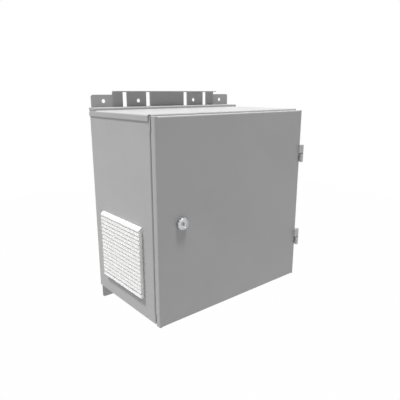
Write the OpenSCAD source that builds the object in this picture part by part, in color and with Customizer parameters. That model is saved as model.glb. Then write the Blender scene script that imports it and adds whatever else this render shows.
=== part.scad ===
// Wall-mounted telecom cabinet: folded steel body and door, wall and pole brackets,
// a filter fan in the left side and 19-inch rack rails inside.
// X runs to the right, Y towards the wall and Z up. The wall is the plane y = 0,
// and the origin is the middle of the wall bolts.

/* [Body] */
// Width of the body across its sides
body_w = 660; // [640:1:760]
// Height from the underside of the floor to the top of the roof
body_h = 660; // [640:1:800]
// Depth from the back panel's rear face to the front frame
body_d = 374; // [360:1:500]
// Thickness of the folded sheet steel
sheet_t = 2; // [1.5:0.1:2.4]
// Inside radius of the folds
fold_r = 3; // [2:0.5:4]
// Width of the frame round the front opening
frame_w = 30; // [26:1:36]
// Depth of the sealing lip on the front frame
seal_lip_d = 12; // [8:1:15]
// Length of the side's front edge past its bend, where the upright is welded on
upright_lap = 1; // [1:0.5:2]
// Height of the corner relief at the top of each side's front fold
relief_top_h = 48; // [36:1:60]
// Height of the corner relief at the bottom of each side's front fold
relief_low_h = 40; // [36:1:60]
// Width of the ledge that carries the roof
ledge_w = 20; // [14:1:26]
// Height of the back panel's edge turned forward
back_edge_d = 15; // [10:1:25]
// Gap round the back panel
back_fit = 0.2; // [0.1:0.1:0.5]

/* [Roof] */
// How far the roof stands out past each side
roof_over = 3; // [2.5:0.5:6]
// Height of the lips along the roof's sides
roof_lip_h = 19; // [8:1:24]
// Gap between the roof's sealing lip and those of the sides
lip_fit = 0.3; // [0.2:0.1:1]
// Height of the rail at the rear of the roof
rail_h = 9; // [6:1:14]
// Depth of the rail at the rear of the roof
rail_d = 46; // [30:1:60]

/* [Mounting brackets] */
// Thickness of the bracket plate
bracket_t = 3; // [2.5:0.5:5]
// Inside radius of the bracket's fold
bracket_fold_r = 3; // [2:0.5:5]
// Half the length of the bracket over its ears
ear_x = 323; // [300:1:330]
// Height of the ears past the body
ear_rise = 52; // [46:1:70]
// Radius of the corners of the ears
ear_r = 8; // [4:1:15]
// Half the length of the raised middle
middle_x = 240; // [220:1:260]
// Height of the raised middle past the body
middle_rise = 64.5; // [58:0.5:80]
// Depth of the flange folded forward along the raised middle
flange_d = 22; // [14:1:32]
// How far the bracket laps over the back panel
lap_h = 60; // [40:1:90]
// Width of a strap slot
slot_w = 16.5; // [10:0.5:20]
// Distance of a strap slot's low end from the roof
slot_low = 6; // [4:1:20]
// Distance of a strap slot's high end from the flange's top
slot_high = 4; // [4:1:16]
// Distance of the outer strap slots from the middle
slot_outer_x = 190; // [180:1:210]
// Distance of the inner strap slots from the middle
slot_inner_x = 89.5; // [70:0.5:100]
// Radius of a wall bolt hole
wall_hole_r = 7; // [5:0.5:9]
// Height of the wall bolt holes past the body
wall_hole_rise = 30; // [24:1:36]
// Distance of the outer wall bolt holes from the middle
wall_outer_x = 276; // [262:1:290]
// Distance of the inner wall bolt holes from the middle
wall_inner_x = 132; // [115:1:150]
// Distance of the outer bracket screws from the middle
lap_outer_x = 230; // [200:1:260]
// Distance of the inner bracket screws from the middle
lap_inner_x = 70; // [40:1:110]
// Thread radius of a bracket screw
lap_screw_r = 4; // [3:0.5:5]
// Length of a bracket screw
lap_screw_l = 16; // [13:1:25]

/* [Door] */
// Depth of the door's folded edges
door_d = 25; // [22:1:32]
// Gap between the closed door and the front frame
door_gap = 3; // [2:0.5:4]
// How far the door's top lies below the roof's top
door_drop = 5; // [4:0.5:8]
// Outside radius of the door's upright edges
door_edge_r = 6; // [4.5:0.5:7]
// Outside radius of the door's top and bottom edges
door_rim_r = 5; // [3:0.5:5]
// Width of the relief notch at each corner of the door
door_notch_w = 4; // [2:0.5:8]
// Width of the lip folded inwards along the rear of the door's edges
door_lip_w = 12; // [9:1:18]
// Distance of the top and bottom lips' ends from the door's upright edges
door_lip_end = 60; // [30:1:90]
// Width of the gasket
gasket_w = 18; // [12:1:24]
// Radius of the gasket's round crown
gasket_crown_r = 14; // [12:1:20]
// Corner radius of the gasket along its middle
gasket_corner_r = 16; // [14:1:19]
// Gap that the gasket closes when it is pressed
gasket_gap = 0.3; // [0.2:0.1:0.6]
// Distance of the stiffeners from the door's upright edges
stiffener_edge = 180; // [160:1:230]
// Width of a stiffener's raised part
stiffener_w = 40; // [25:1:60]
// Depth of a stiffener
stiffener_d = 18; // [10:1:24]
// Width of a stiffener's feet
stiffener_foot = 14; // [10:1:20]
// Distance of a stiffener's ends from the door's ends
stiffener_end = 65; // [50:1:90]

/* [Hinges] */
// Distance of the hinges from the middle of the door's height
hinge_z = 167; // [120:1:220]
// Radius of a knuckle
knuckle_r = 7; // [7:0.5:8]
// Length of a knuckle
knuckle_l = 31; // [24:1:40]
// Gap between the two knuckles of a hinge
knuckle_gap = 2; // [1.6:0.1:3]
// Clearance over the washer between the knuckles
washer_gap = 0.3; // [0.2:0.1:0.5]
// How far the pin's axis lies past the door's upright edge
pin_out = 2; // [2:0.5:4]
// How far the pin's axis lies in front of the door
pin_forward = 6; // [6:0.5:8]
// Radius of a hinge pin
pin_r = 3; // [2.5:0.1:3.5]
// Radial clearance of the pin in the moving knuckle
pin_run = 0.05; // [0.02:0.01:0.08]
// Radial clearance of the pin in the fixed knuckle
pin_hold = 0.02; // [0.01:0.01:0.03]
// Radius of a pin's head
pin_head_r = 5; // [4:0.5:7]
// Thickness of a pin's head
pin_head_t = 2; // [1.5:0.5:4]
// Thickness of the fixed half's leaf
leaf_t = 4; // [3:0.5:5]
// Length of the leaf on the body's side
leaf_l = 40; // [36:1:60]
// Gap between the fixed half's arm and the door's edge
arm_gap = 0.8; // [0.5:0.1:1.2]
// Length of the moving half's pad on the door
pad_l = 12.5; // [12:0.5:18]
// Thickness of the moving half's pad
pad_t = 9; // [8:0.5:12]
// Distance between the two screws of a hinge half
hinge_screw_gap = 18; // [14:0.5:20]
// Thread radius of a fixed half's screw
leaf_screw_r = 3; // [2.5:0.5:3.5]
// Length of a fixed half's screw behind the body's side
leaf_screw_l = 6; // [4:0.5:12]
// Thread radius of a moving half's screw
pad_screw_r = 2; // [1.5:0.1:2.2]
// Distance of the moving half's screws from the door's upright edge
pad_screw_in = 9; // [8.5:0.5:10]

/* [Latch] */
// Distance of the latch from the door's free upright edge
latch_in = 86; // [70:1:110]
// Height of the latch above the middle of the door
latch_z = 2.5; // [-60:0.5:60]
// Radius of the knob
knob_r = 20.5; // [16:0.5:26]
// Thickness of the knob
knob_t = 11; // [9:0.5:18]
// Radius of the finger hollows round the knob
scallop_r = 7; // [4:0.5:9]
// How deep the finger hollows cut into the knob
scallop_d = 1.6; // [0.8:0.2:3]
// Radius of the dished face of the knob
dish_r = 14; // [11:0.5:16]
// Depth of the dished face of the knob
dish_d = 2.5; // [1:0.5:4]
// Width of the chamfer round the knob's face
knob_face_cut = 3; // [1:0.5:4]
// Width of the chamfer round the knob's back
knob_back_cut = 2; // [1:0.5:4]
// Number of finger hollows round the knob
scallop_n = 12; // [6:1:16]
// Radius of the housing's flange on the door
escutcheon_r = 19; // [16:0.5:24]
// Thickness of the housing's flange
escutcheon_t = 3; // [2:0.5:5]
// Clearance between the knob and the housing's flange
knob_gap = 0.3; // [0.2:0.1:0.5]
// Radius of the housing's barrel
barrel_r = 9.5; // [8:0.5:11]
// Length of the barrel behind the door's front
barrel_l = 20; // [14:1:24]
// Radius of the spindle
spindle_r = 5; // [4:0.1:6]
// Radial clearance of the spindle in the barrel
spindle_run = 0.05; // [0.02:0.01:0.08]
// Width of the square end of the spindle
square_w = 6.6; // [5:0.1:7]
// Radius of the lock core
core_r = 6.5; // [5:0.5:8]
// Width of the key slot
key_w = 2; // [1.5:0.1:3]
// Length of the key slot
key_l = 8; // [6:0.5:10]
// Depth of the key slot
key_d = 3; // [2:0.5:5]
// Distance across the flats of the housing's nut
nut_flats = 26; // [24:1:30]
// Thickness of the housing's nut
nut_t = 6; // [4:0.5:8]
// Reach of the cam from the spindle
cam_l = 61; // [60:1:72]
// Width of the cam
cam_w = 20; // [16:1:26]
// Thickness of the cam
cam_t = 3; // [2:0.5:4]
// Gap between the cam and the front frame
cam_gap = 1.5; // [0.4:0.1:2]

/* [Filter fan] */
// Width of the grille
grille_w = 252; // [240:1:262]
// Height of the grille
grille_h = 241; // [240:1:262]
// How far the grille stands out from the side
grille_d = 13; // [12:0.5:22]
// Distance of the grille's middle from the wall
filter_back = 189; // [180:1:230]
// Height of the grille's middle above the floor
filter_up = 190; // [170:0.5:230]
// Thickness of the grille's walls
grille_wall = 3; // [2:0.5:4]
// Height of the grille's sloping top edge
grille_bevel = 9; // [6:0.5:12]
// Height of the plain bands at the grille's top and bottom
grille_band = 13; // [10:0.5:18]
// Width of the grille's feet on the side, round the filter housing's rim
grille_foot = 4; // [3:0.5:6]
// Number of louvres
louvre_n = 19; // [12:1:22]
// Thickness of a louvre
louvre_t = 3.2; // [2:0.2:5]
// How far the louvres stand in front of the grille's side walls
louvre_proud = 3; // [1:0.5:5]
// Side of the square cut-out for the filter
filter_cut = 222; // [215:1:222]
// Gap between the filter housing and its cut-out
filter_fit = 1; // [0.5:0.1:2]
// Thickness of the filter housing's walls
housing_t = 2.5; // [2:0.5:3.5]
// Depth of the filter housing inside the side
housing_d = 24; // [20:1:30]
// Width of the housing's rim outside the side
housing_rim = 6; // [5:0.5:6]
// Thickness of the filter mat
mat_t = 17; // [10:1:19]
// Side of the square fan frame
fan_w = 160; // [150:1:176]
// Depth of the fan frame
fan_d = 38; // [34:1:45]
// Radius of the fan's bore
fan_bore_r = 75; // [70:0.5:76]
// Gap between the rotor's blades and the bore
blade_gap = 3; // [1.5:0.5:5]
// Number of fan blades
blade_n = 7; // [5:1:9]
// Thickness of a fan blade
blade_t = 2.5; // [1.5:0.5:3.5]
// Chord of a fan blade
blade_chord = 34; // [24:1:36]
// Pitch of a fan blade
blade_pitch = 38; // [25:1:45]
// Radius of the rotor's hub
hub_r = 31; // [26:0.5:36]
// Radius of the motor
motor_r = 26; // [20:0.5:27]
// Radius of the motor's shaft
shaft_r = 3; // [2:0.1:4]
// Radial clearance of the shaft in the rotor
shaft_run = 0.05; // [0.02:0.01:0.08]
// Thickness of the rotor hub's wall
hub_wall = 3; // [2:0.5:4]
// Gap between the rotor's hub and the frame's front and spider
hub_gap = 2; // [1:0.5:4]
// Thickness of the spider that carries the motor
spider_t = 3; // [2:0.5:5]
// Width of the spider's struts
strut_w = 8; // [5:0.5:12]
// Distance between the fan screws
fan_screw_gap = 138; // [132:1:146]
// Thread radius of a fan screw
fan_screw_r = 2; // [1.5:0.1:2.5]
// Number of rings in the finger guard
guard_n = 5; // [3:1:7]
// Thickness of the finger guard
guard_t = 2; // [1.5:0.5:4]

/* [Rack and floor] */
// Side of a square rack hole
rack_hole = 9.5; // [9:0.1:9.5]
// Distance of the rack holes from a rail's inner edge
rack_hole_in = 7.4; // [6:0.1:9]
// Width of a rail's front leg
rail_leg = 22; // [18:1:26]
// Depth of a rail's side leg
rail_depth = 30; // [20:1:45]
// Distance of the rails behind the front frame
rail_setback = 50; // [45:1:90]
// Room between the rails' ends and the roof or the floor
rail_end_room = 55; // [40:1:80]
// Height of a rail bracket
rail_bracket_h = 20; // [16:1:22]
// Width of the gland plate's cut-out
gland_w = 240; // [150:1:300]
// Depth of the gland plate's cut-out
gland_d = 100; // [60:1:140]
// Lap of the gland plate round its cut-out
gland_lap = 20; // [14:1:30]
// Distance of the gland plate's middle from the wall
gland_back = 120; // [110:1:200]
// Thread radius of the small screws
screw_r = 3; // [2:0.5:4]
// Thread radius of the earth stud
earth_r = 4; // [3:0.5:5]
// Length of the earth stud
earth_l = 25; // [18:1:40]
// Distance of the earth stud from the left side
earth_in = 60; // [45:1:120]
// Height of the earth stud above the floor
earth_up = 50; // [40:1:90]

/* [Hidden] */
$fn = 48;

// Colours of the finishes
paint = "#b4b4b1";
zinc = "#c4c7c9";
white_plastic = "#f2f2f0";
dark_plastic = "#2e2f31";
rubber = "#2a2a2b";
fleece = "#dcdcd4";

// Rack standard: height of one unit, and distance between the two columns of holes
unit_h = 44.45;
rack_gap = 465.12;
// Places of the three holes of one rack unit, from the unit's low edge
unit_holes = [unit_h / 7, unit_h / 2, unit_h * 6 / 7];

// How far a cutting shape runs past what it cuts
over = 1;
// Clearance round a screw in its hole
screw_fit = 0.2;
// Head sizes of a screw as multiples of its thread radius
head_ratio = 1.9;
head_t_ratio = 1.1;
// Distance across the corners of a nut as a multiple of its thread radius
nut_ratio = 3.6;
nut_t_ratio = 1.6;
// Sides of a hexagon
hex_n = 6;

fold_out = fold_r + sheet_t;
side_x = body_w / 2;
top_z = body_h / 2;
floor_z = -body_h / 2;
back_y = -bracket_t;
front_y = back_y - body_d;
wrap_top_z = top_z - sheet_t;
wrap_h = wrap_top_z - floor_z;
wrap_mid_z = (wrap_top_z + floor_z) / 2;

ear_top_z = top_z + ear_rise;
middle_top_z = top_z + middle_rise;
lap_low_z = top_z - lap_h;
lap_screw_z = top_z - lap_h / 2;
lap_head_r = lap_screw_r + bracket_t;
wall_hole_z = top_z + wall_hole_rise;

door_back_y = front_y - door_gap;
door_front_y = door_back_y - door_d;
door_top_z = top_z - door_drop;
door_h = door_top_z - floor_z;
door_mid_z = (door_top_z + floor_z) / 2;
door_inner_y = door_front_y + sheet_t;
gasket_back_y = front_y - seal_lip_d - gasket_gap;

pin_x = side_x + pin_out;
pin_y = door_front_y - pin_forward;
hinge_zs = [door_mid_z + hinge_z, door_mid_z - hinge_z];
washer_t = knuckle_gap - washer_gap;
washer_r = knuckle_r - screw_fit;

latch_x = -side_x + latch_in;
latch_mid_z = door_mid_z + latch_z;
knob_back_y = door_front_y - escutcheon_t - knob_gap;
knob_front_y = knob_back_y - knob_t;
cam_y = front_y + sheet_t + cam_gap;

filter_y = -filter_back;
filter_z = floor_z + filter_up;
housing_w = filter_cut - 2 * filter_fit;
fan_x = -side_x + housing_d;
fan_end_x = fan_x + fan_d;
hub_front_x = fan_x + 2 * hub_gap;
hub_back_x = fan_end_x - spider_t - hub_gap;
blade_tip_r = fan_bore_r - blade_gap;

rack_x = rack_gap / 2;
rail_y = front_y + rail_setback;
rail_h_full = body_h - 2 * rail_end_room;
rack_u = floor(rail_h_full / unit_h);
rail_in_x = rack_x - rack_hole_in;
rail_out_x = rail_in_x + rail_leg;
rail_bracket_z = rail_h_full / 2 - rail_bracket_h / 2;

gland_y = -gland_back;
earth_x = -side_x + earth_in;
earth_z = floor_z + earth_up;

module both_sides() {
    children();
    mirror([1, 0, 0]) children();
}

// A section in X and Z, drawn out from y0 to y1
module along_y(y0, y1) {
    translate([0, y1, 0]) rotate([90, 0, 0]) linear_extrude(y1 - y0) children();
}

// A section in X and Y, drawn out from z0 to z1
module along_z(z0, z1) {
    translate([0, 0, z0]) linear_extrude(z1 - z0) children();
}

// A section in Y and Z, drawn out from x0 to x1
module along_x(x0, x1) {
    translate([x0, 0, 0]) rotate([90, 0, 90]) linear_extrude(x1 - x0) children();
}

module rod_x(x0, x1, r) {
    translate([x0, 0, 0]) rotate([0, 90, 0]) cylinder(h = x1 - x0, r = r);
}

module rod_y(y0, y1, r) {
    translate([0, y1, 0]) rotate([90, 0, 0]) cylinder(h = y1 - y0, r = r);
}

module hex_y(y0, y1, r) {
    translate([0, y1, 0]) rotate([90, 0, 0]) cylinder(h = y1 - y0, r = r, $fn = hex_n);
}

// A rectangle with round corners, about its middle
module round_rect(size, r) {
    square([size[0] - 2 * r, size[1]], center = true);
    square([size[0], size[1] - 2 * r], center = true);
    for (sx = [-1, 1], sz = [-1, 1]) {
        translate([sx * (size[0] / 2 - r), sz * (size[1] / 2 - r)]) circle(r);
    }
}

// Two sheet legs joined by a round fold, with the outer corner at the origin
module fold_section(leg_u, leg_v, t, r) {
    bend = r + t;
    translate([bend, 0]) square([leg_u - bend, t]);
    translate([0, bend]) square([t, leg_v - bend]);
    intersection() {
        square(bend);
        difference() {
            translate([bend, bend]) circle(bend);
            translate([bend, bend]) circle(r);
        }
    }
}

// Sides, floor and roof ledges of the body, seen from the front
module wrap_section() {
    difference() {
        translate([0, wrap_mid_z]) round_rect([body_w, wrap_h], fold_out);
        translate([0, wrap_mid_z]) round_rect([body_w - 2 * sheet_t, wrap_h - 2 * sheet_t], fold_r);
        translate([ledge_w - side_x, wrap_mid_z]) square([body_w - 2 * ledge_w, wrap_h]);
    }
}

// Right upright of the front frame, with the sealing lip along the frame's inner edge
module front_upright() {
    along_z(floor_z + frame_w - sheet_t, top_z - frame_w - lip_fit)
        translate([side_x - frame_w, front_y + sheet_t]) mirror([0, 1])
            fold_section(frame_w - fold_out - upright_lap, seal_lip_d + sheet_t, sheet_t, fold_r);
}

// Front bend of the right side, to whose edge the upright is welded
module side_bend() {
    along_z(floor_z + relief_low_h, top_z - relief_top_h)
        translate([side_x, front_y]) mirror([1, 0])
            fold_section(fold_out + upright_lap, fold_out + sheet_t, sheet_t, fold_r);
}

// Front fold of the floor
module floor_frame() {
    along_x(fold_out - side_x, side_x - fold_out)
        translate([front_y, floor_z])
            fold_section(fold_out + sheet_t, frame_w - fold_out, sheet_t, fold_r);
    along_x(frame_w - side_x, side_x - frame_w)
        translate([front_y + sheet_t, floor_z + frame_w]) rotate(180)
            fold_section(seal_lip_d + sheet_t, frame_w - fold_out, sheet_t, fold_r);
}

module body_wrap() {
    color(paint) difference() {
        union() {
            along_y(front_y + fold_out, back_y) wrap_section();
            floor_frame();
            both_sides() side_bend();
        }
        along_x(-side_x - over, over - side_x + sheet_t)
            translate([filter_y, filter_z]) square(filter_cut, center = true);
        along_z(floor_z - over, floor_z + sheet_t + over)
            translate([0, gland_y]) square([gland_w, gland_d], center = true);
        gland_screw_places() translate([0, 0, floor_z - over])
            cylinder(h = sheet_t + 2 * over, r = screw_r + screw_fit);
        leaf_screw_places() rod_x(-sheet_t - over, over, leaf_screw_r + screw_fit);
    }
}

module right_front_upright() {
    color(paint) front_upright();
}

module left_front_upright() {
    color(paint) mirror([1, 0, 0]) front_upright();
}

module back_panel() {
    panel_w = body_w - 2 * sheet_t - 2 * back_fit;
    panel_h = wrap_h - 2 * sheet_t - 2 * back_fit;
    color(paint) difference() {
        translate([0, 0, wrap_mid_z]) {
            along_y(back_y - sheet_t, back_y) round_rect([panel_w, panel_h], fold_r);
            along_y(back_y - back_edge_d, back_y) difference() {
                round_rect([panel_w, panel_h], fold_r);
                round_rect([panel_w - 2 * sheet_t, panel_h - 2 * sheet_t], fold_r);
            }
        }
        lap_screw_places() rod_y(back_y - sheet_t - over, back_y + over, lap_screw_r + screw_fit);
        earth_place() rod_y(back_y - sheet_t - over, back_y + over, earth_r + screw_fit);
    }
}

module roof_cap() {
    cap_x = side_x + roof_over;
    color(paint) {
        along_y(front_y + fold_out, back_y) {
            translate([cap_x, top_z]) rotate(180) fold_section(cap_x, roof_lip_h, sheet_t, fold_r);
            mirror([1, 0]) translate([cap_x, top_z]) rotate(180)
                fold_section(cap_x, roof_lip_h, sheet_t, fold_r);
        }
        along_x(fold_out - side_x, side_x - fold_out)
            translate([front_y, top_z]) mirror([0, 1])
                fold_section(fold_out + sheet_t, frame_w - fold_out, sheet_t, fold_r);
        along_x(frame_w - side_x, side_x - frame_w)
            translate([front_y + sheet_t, top_z - frame_w]) mirror([1, 0])
                fold_section(seal_lip_d + sheet_t, frame_w - fold_out, sheet_t, fold_r);
    }
}

module rear_roof_rail() {
    rail_x = side_x + roof_over;
    color(paint) {
        along_x(-rail_x, rail_x) translate([back_y - rail_d, top_z + rail_h]) mirror([0, 1])
            fold_section(rail_d, rail_h, sheet_t, fold_r);
        both_sides() along_x(rail_x - sheet_t, rail_x) translate([back_y - rail_d + sheet_t, top_z])
            square([rail_d - sheet_t, rail_h - sheet_t]);
    }
}

module lap_screw_places() {
    for (sx = [-1, 1], x = [lap_inner_x, lap_outer_x], sz = [-1, 1]) {
        translate([sx * x, 0, sz * lap_screw_z]) children();
    }
}

// One wall and pole bracket, in its place above the roof
module mounting_bracket() {
    slot_low_z = top_z + slot_low;
    slot_h = middle_top_z - slot_high - slot_low_z;
    plate_mid_z = (ear_top_z + lap_low_z) / 2;
    difference() {
        union() {
            along_y(back_y, 0) translate([0, plate_mid_z])
                round_rect([2 * ear_x, ear_top_z - lap_low_z], ear_r);
            along_x(-middle_x, middle_x) translate([0, middle_top_z]) rotate(180)
                fold_section(flange_d, middle_top_z - lap_low_z, bracket_t, bracket_fold_r);
        }
        for (sx = [-1, 1], x = [slot_inner_x, slot_outer_x]) {
            along_y(back_y - bracket_fold_r, over) translate([sx * x - slot_w / 2, slot_low_z])
                square([slot_w, slot_h]);
        }
        for (sx = [-1, 1], x = [wall_inner_x, wall_outer_x]) {
            translate([sx * x, 0, wall_hole_z]) rod_y(back_y - over, over, wall_hole_r);
        }
        lap_screw_places() lap_screw_head(screw_fit);
    }
}

// Countersunk head of a bracket screw, flush with the wall
module lap_screw_head(fit) {
    translate([0, fit, 0]) rotate([90, 0, 0])
        cylinder(h = bracket_t + 2 * fit, r1 = lap_head_r + fit, r2 = lap_screw_r + fit);
}

module upper_bracket() {
    color(paint) mounting_bracket();
}

module lower_bracket() {
    color(paint) mirror([0, 0, 1]) mounting_bracket();
}

module bracket_screws() {
    color(zinc) lap_screw_places() {
        lap_screw_head(0);
        rod_y(-lap_screw_l, back_y, lap_screw_r);
    }
}

module bracket_nuts() {
    nut_y = back_y - sheet_t;
    color(zinc) lap_screw_places() difference() {
        hex_y(nut_y - nut_t_ratio * lap_screw_r, nut_y, nut_ratio * lap_screw_r / 2);
        rod_y(nut_y - nut_t_ratio * lap_screw_r - over, nut_y + over, lap_screw_r + pin_hold);
    }
}

// The right rack rail: a folded angle with three square holes to each unit
module rack_rail() {
    difference() {
        along_z(-rail_h_full / 2, rail_h_full / 2) translate([rail_out_x, rail_y]) mirror([1, 0])
            fold_section(rail_leg, rail_depth, sheet_t, fold_r);
        along_y(rail_y - over, rail_y + sheet_t + over) for (u = [0 : rack_u - 1], h = unit_holes) {
            translate([rack_x, (u - rack_u / 2) * unit_h + h]) square(rack_hole, center = true);
        }
        rail_screw_places() rod_x(-sheet_t - over, over, screw_r + screw_fit);
    }
}

module right_rack_rail() {
    color(zinc) rack_rail();
}

module left_rack_rail() {
    color(zinc) mirror([1, 0, 0]) rack_rail();
}

// Places of the right rail's screws, on the outer face of its side leg
module rail_screw_places() {
    for (sz = [-1, 1]) {
        translate([rail_out_x, rail_y + rail_depth / 2, sz * rail_bracket_z]) children();
    }
}

// Sheet brackets that hold the rails off the sides
module rail_brackets() {
    wall_x = side_x - sheet_t;
    bracket_y = rail_y + fold_out;
    color(paint) both_sides() difference() {
        for (sz = [-1, 1]) {
            along_z(sz * rail_bracket_z - rail_bracket_h / 2, sz * rail_bracket_z + rail_bracket_h / 2) {
                translate([wall_x, bracket_y]) mirror([1, 0])
                    fold_section(wall_x - rail_out_x - fold_out, rail_depth, sheet_t, fold_r);
                translate([rail_out_x, bracket_y])
                    fold_section(wall_x - rail_out_x - fold_out, rail_depth, sheet_t, fold_r);
            }
        }
        rail_screw_places() rod_x(-over, sheet_t + over, screw_r + screw_fit);
    }
}

module rail_screws() {
    color(zinc) both_sides() rail_screw_places() {
        rod_x(-2 * sheet_t, sheet_t, screw_r);
        rod_x(sheet_t, sheet_t + head_t_ratio * screw_r, head_ratio * screw_r);
    }
}

module gland_screw_places() {
    for (sx = [-1, 1], sy = [-1, 1]) {
        translate([
            sx * (gland_w + gland_lap) / 2,
            gland_y + sy * (gland_d + gland_lap) / 2,
            0
        ]) children();
    }
}

// Cover of the cable cut-out, laid on the floor inside
module gland_plate() {
    plate_z = floor_z + sheet_t;
    color(paint) difference() {
        along_z(plate_z, plate_z + sheet_t) translate([0, gland_y])
            round_rect([gland_w + 2 * gland_lap, gland_d + 2 * gland_lap], fold_out);
        gland_screw_places() translate([0, 0, plate_z - over])
            cylinder(h = sheet_t + 2 * over, r = screw_r + screw_fit);
    }
}

module gland_plate_screws() {
    head_z = floor_z + 2 * sheet_t;
    color(zinc) gland_screw_places() {
        translate([0, 0, floor_z]) cylinder(h = 2 * sheet_t, r = screw_r);
        translate([0, 0, head_z]) cylinder(h = head_t_ratio * screw_r, r = head_ratio * screw_r);
    }
}

module earth_place() {
    translate([earth_x, 0, earth_z]) children();
}

module earth_stud() {
    color(zinc) earth_place() {
        rod_y(back_y - sheet_t - earth_l, back_y, earth_r);
        rod_y(back_y - 2 * sheet_t, back_y - sheet_t, head_ratio * earth_r);
    }
}

module earth_nut() {
    nut_y = back_y - 2 * sheet_t;
    color(zinc) earth_place() difference() {
        hex_y(nut_y - nut_t_ratio * earth_r, nut_y, nut_ratio * earth_r / 2);
        rod_y(nut_y - nut_t_ratio * earth_r - over, nut_y + over, earth_r + pin_hold);
    }
}

// Moves to the filter's middle on the left side, with +X pointing out of the cabinet
module filter_place() {
    translate([-side_x, filter_y, filter_z]) mirror([1, 0, 0]) children();
}

// The grille's solid parts above and below the louvres, and the louvres, seen along Y
module louvre_sections() {
    high = grille_h / 2;
    span = grille_h - 2 * grille_band;
    pitch = (span + louvre_t) / louvre_n;
    polygon([
        [0, high], [grille_wall, high], [grille_d, high - grille_bevel],
        [grille_d, high - grille_band], [grille_wall, high - grille_band],
        [grille_wall, high - grille_foot], [0, high - grille_foot]
    ]);
    polygon([
        [0, -high], [grille_d - grille_wall, -high], [grille_d, -high + grille_wall],
        [grille_d, -high + grille_band], [grille_wall, -high + grille_band],
        [grille_wall, -high + grille_foot], [0, -high + grille_foot]
    ]);
    for (i = [0 : louvre_n - 1]) {
        z = -(span + louvre_t) / 2 + i * pitch;
        polygon([
            [grille_d, z], [grille_d, z + louvre_t],
            [grille_wall, z + pitch], [grille_wall, z + pitch - louvre_t]
        ]);
    }
}

module filter_grille() {
    wall_d = grille_d - louvre_proud;
    wall_h = grille_h - grille_bevel - grille_wall;
    wall_z = -grille_h / 2 + grille_wall;
    color(white_plastic) filter_place() {
        translate([0, grille_w / 2, 0]) rotate([90, 0, 0]) linear_extrude(grille_w) louvre_sections();
        for (y = [-grille_w / 2, grille_w / 2 - grille_wall]) {
            translate([0, y, wall_z]) cube([wall_d, grille_wall, wall_h]);
        }
        translate([grille_wall, -grille_wall / 2, wall_z])
            cube([wall_d - grille_wall, grille_wall, wall_h]);
    }
}

// Tray through the side's cut-out that holds the mat and carries the fan
module filter_housing() {
    rim_w = housing_w + 2 * housing_rim;
    color(dark_plastic) filter_place() difference() {
        union() {
            along_x(0, housing_t) square(rim_w, center = true);
            along_x(-housing_d, housing_t) square(housing_w, center = true);
        }
        along_x(housing_t - housing_d, housing_t + over)
            square(housing_w - 2 * housing_t, center = true);
        rod_x(-housing_d - over, housing_t, fan_bore_r);
        fan_screw_places() rod_x(-housing_d - over, housing_t, fan_screw_r + screw_fit);
    }
}

module filter_mat() {
    mat_w = housing_w - 2 * housing_t - 2 * screw_fit;
    color(fleece) filter_place() along_x(housing_t - housing_d, housing_t - housing_d + mat_t)
        square(mat_w, center = true);
}

// Moves to the fan's axis, with X as in the whole cabinet
module fan_place() {
    translate([0, filter_y, filter_z]) children();
}

module fan_screw_places() {
    for (sy = [-1, 1], sz = [-1, 1]) {
        translate([0, sy * fan_screw_gap / 2, sz * fan_screw_gap / 2]) children();
    }
}

// Square fan frame with the spider that carries the motor
module fan_frame() {
    color(dark_plastic) fan_place() {
        difference() {
            along_x(fan_x, fan_end_x) round_rect([fan_w, fan_w], fold_out);
            rod_x(fan_x - over, fan_end_x + over, fan_bore_r);
            fan_screw_places() rod_x(fan_x - over, fan_end_x + over, fan_screw_r + screw_fit);
        }
        along_x(fan_end_x - spider_t, fan_end_x) {
            circle(hub_r);
            intersection() {
                circle(fan_bore_r + strut_w / 2);
                for (turn = [0, 90]) {
                    rotate(turn) square([2 * fan_bore_r + strut_w, strut_w], center = true);
                }
            }
        }
    }
}

module fan_motor() {
    motor_front_x = hub_front_x + hub_wall + over;
    color(zinc) fan_place() {
        rod_x(motor_front_x, fan_end_x - spider_t, motor_r);
        rod_x(hub_front_x - over, motor_front_x, shaft_r);
    }
}

module fan_blade() {
    blade_l = blade_tip_r - hub_r + hub_wall;
    translate([(hub_front_x + hub_back_x) / 2, 0, hub_r - hub_wall / 2]) rotate([0, 0, blade_pitch])
        translate([-blade_t / 2, -blade_chord / 2, 0]) cube([blade_t, blade_chord, blade_l]);
}

module fan_rotor() {
    color(dark_plastic) fan_place() difference() {
        union() {
            rod_x(hub_front_x, hub_back_x, hub_r);
            intersection() {
                for (i = [0 : blade_n - 1]) {
                    rotate([i * 360 / blade_n, 0, 0]) fan_blade();
                }
                rod_x(hub_front_x, hub_back_x, blade_tip_r);
            }
        }
        rod_x(hub_front_x + hub_wall, hub_back_x + over, hub_r - hub_wall);
        rod_x(hub_front_x - over, hub_back_x, shaft_r + shaft_run);
    }
}

// Finger guard of flat rings on a cross, screwed over the fan
module fan_guard() {
    ring_gap = fan_bore_r / guard_n;
    foot_r = head_ratio * fan_screw_r + guard_t;
    color(zinc) fan_place() difference() {
        along_x(fan_end_x, fan_end_x + guard_t) {
            for (i = [1 : guard_n]) {
                difference() {
                    circle(i * ring_gap + guard_t);
                    circle(i * ring_gap);
                }
            }
            for (turn = [45, 135]) {
                rotate(turn) square([fan_screw_gap * sqrt(2), 2 * guard_t], center = true);
            }
            for (sy = [-1, 1], sz = [-1, 1]) {
                translate([sy, sz] * fan_screw_gap / 2) circle(foot_r);
            }
        }
        fan_screw_places() rod_x(fan_end_x - over, fan_end_x + guard_t + over, fan_screw_r + screw_fit);
    }
}

module fan_screws() {
    head_x = fan_end_x + guard_t;
    color(zinc) fan_place() fan_screw_places() {
        rod_x(fan_x - housing_t, head_x, fan_screw_r);
        rod_x(head_x, head_x + head_t_ratio * fan_screw_r, head_ratio * fan_screw_r);
    }
}

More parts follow.
